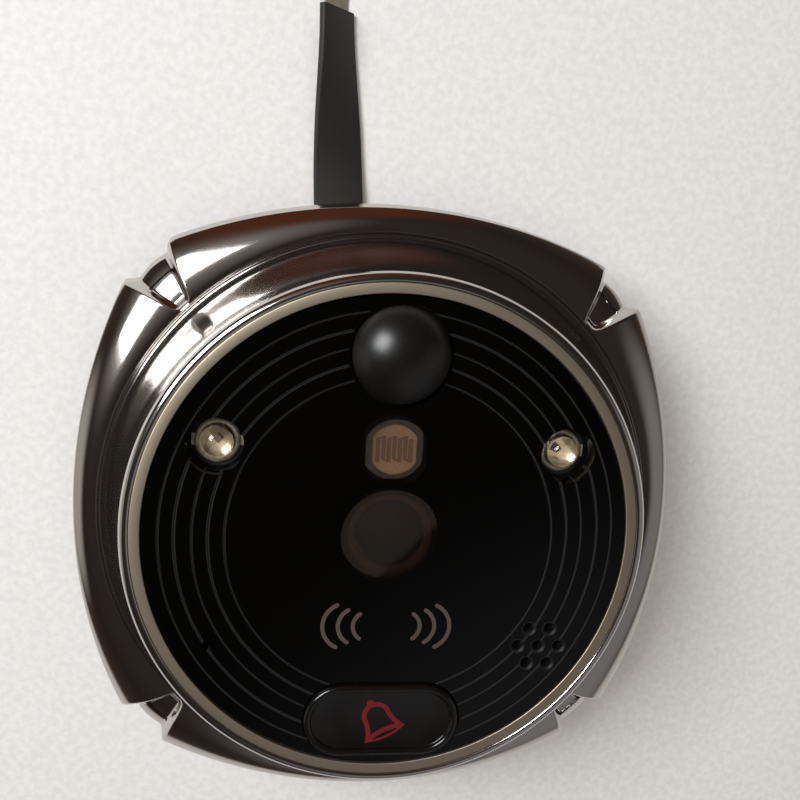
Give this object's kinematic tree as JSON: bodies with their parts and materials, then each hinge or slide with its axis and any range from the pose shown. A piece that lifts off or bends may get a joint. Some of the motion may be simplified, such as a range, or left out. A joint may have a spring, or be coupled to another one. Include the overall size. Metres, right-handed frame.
{
  "type": "peephole door camera",
  "caption": "Outdoor unit of a door viewer: round smoked face with lens, motion sensor dome, infrared lamps, call button and speaker on a bowed square chrome housing with a flat cable.",
  "frame": {"origin": "middle of the foam gasket's back face, which lies on the door", "axes": "+Z out of the face, +Y up on the door (the call button is at -Y), +X to the viewer's right"},
  "size_m": [0.0688, 0.111, 0.0283],
  "materials": {
    "zinc_chrome": "bright gunmetal chrome on die-cast zinc",
    "champagne_aluminium": "satin champagne anodised",
    "smoked_acrylic": "polished, almost black",
    "black_tape": "matt",
    "brown_print": "screen print",
    "black_polyethylene": "fine matt",
    "nickel_can": "drawn, satin",
    "photocell_ceramic": "lacquered",
    "dark_anodised": "dark anodised, turned",
    "lens_glass": "coated, polished",
    "black_abs": "fine spark texture",
    "filter_glass": "polished",
    "chip_epoxy": "moulded, matt",
    "black_foam": "closed-cell foam",
    "black_rubber": "matt",
    "gloss_abs": "polished",
    "red_print": "screen print",
    "silicone": "translucent",
    "ivory_nylon": "satin",
    "green_laminate": "solder mask",
    "zinc_steel": "zinc plated",
    "tinned_steel": "tinned",
    "capacitor_aluminium": "drawn",
    "cable_tape": "woven tape wrap",
    "polyimide_flex": "satin",
    "gold_cup": "satin",
    "clear_epoxy": "polished",
    "nickel_brass": "nickel plated"
  },
  "bodies": {
    "unit": {"board_screws": "zinc_steel", "button_pad": "silicone", "cable_grommet": "black_rubber", "face_panel": "smoked_acrylic", "flex_tail": "polyimide_flex", "foam_gasket": "black_foam", "front_housing": "zinc_chrome", "image_sensor": "chip_epoxy", "inner_frame": "black_abs", "ir_filter": "filter_glass", "ir_lamp_board_left": "green_laminate", "ir_lamp_board_right": "green_laminate", "ir_lamp_cup_left": "gold_cup", "ir_lamp_cup_right": "gold_cup", "ir_lamp_dome_left": "clear_epoxy", "ir_lamp_dome_right": "clear_epoxy", "lens_barrel": "dark_anodised", "lens_glass": "lens_glass", "lens_holder": "black_abs", "lens_light_seal": "black_foam", "light_sensor": "photocell_ceramic", "main_board": "green_laminate", "memory_chip": "chip_epoxy", "mic_boot": "black_rubber", "microphone": "nickel_can", "mounting_pillar_left": "nickel_brass", "mounting_pillar_right": "nickel_brass", "panel_adhesive": "black_tape", "pir_dome": "black_polyethylene", "pir_sensor": "nickel_can", "rear_cover": "black_abs", "rear_screws": "zinc_steel", "ribbon_cable": "cable_tape", "ribbon_plug": "ivory_nylon", "ribbon_socket": "ivory_nylon", "shield_can": "tinned_steel", "smoothing_capacitor": "capacitor_aluminium", "speaker": "black_abs", "speaker_seal": "black_foam", "tact_switch": "black_abs", "trim_ring": "champagne_aluminium", "video_chip": "chip_epoxy", "wave_marks": "brown_print"},
    "button": {"call_button": "gloss_abs", "bell_symbol": "red_print"},
    "plunger": {"switch_plunger": "ivory_nylon"}
  },
  "joints": [
    {"name": "button_press", "type": "slide", "parent": "unit", "child": "button", "axis": [0, 0, -1], "range_m": [0, 0.0005], "stiffness_N_per_m": 3000, "springref_m": -0.0003, "deforming": ["button_pad"]},
    {"name": "plunger_press", "type": "slide", "parent": "unit", "child": "plunger", "axis": [0, 0, -1], "range_m": [0, 0.0005]}
  ],
  "couplings": [
    {"joint": "plunger_press", "follows": "button_press", "ratio": 1}
  ]
}
